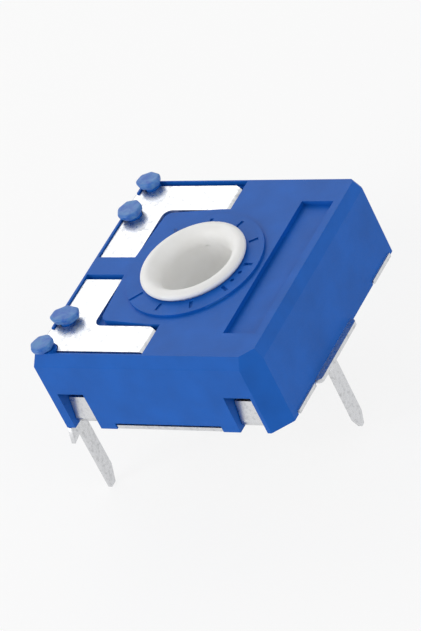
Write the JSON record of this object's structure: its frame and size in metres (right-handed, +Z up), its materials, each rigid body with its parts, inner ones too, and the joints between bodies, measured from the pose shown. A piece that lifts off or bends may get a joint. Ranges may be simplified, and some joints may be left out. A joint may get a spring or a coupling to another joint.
{
  "type": "trimmer potentiometer",
  "caption": "Square board-mounted carbon trimmer with a hollow top-adjust rotor, two folded end terminals and a bottom plate with the wiper pin.",
  "frame": {"origin": "on the rotor axis, in the plane of the housing's top face", "axes": "+Z up along the rotor axis, out of the top face; +X towards the wiper pin, away from the two end terminals; +Y towards the back, the side of terminal 3"},
  "size_m": [0.0148, 0.015, 0.0111],
  "materials": {
    "housing_plastic": "matt moulded blue polyester",
    "rotor_plastic": "satin moulded white acetal",
    "tinned_sheet": "satin tin plate on brass sheet",
    "spring_sheet": "bright rolled phosphor bronze",
    "laminate": "punched phenolic paper",
    "carbon_ink": "printed matt carbon",
    "silver_ink": "printed dull silver"
  },
  "bodies": {
    "base": {"housing": "housing_plastic", "terminal_1": "tinned_sheet", "terminal_3": "tinned_sheet", "collector_plate": "tinned_sheet", "resistor_board": "laminate", "carbon_track": "carbon_ink", "end_contact_1": "silver_ink", "end_contact_3": "silver_ink"},
    "rotor": {"rotor": "rotor_plastic", "wiper_spring": "spring_sheet"}
  },
  "joints": [
    {"name": "rotor_turn", "type": "hinge", "parent": "base", "child": "rotor", "pos_m": [0, 0, 0], "axis": [0, 0, 1], "range_deg": [-132.5, 132.5]}
  ]
}
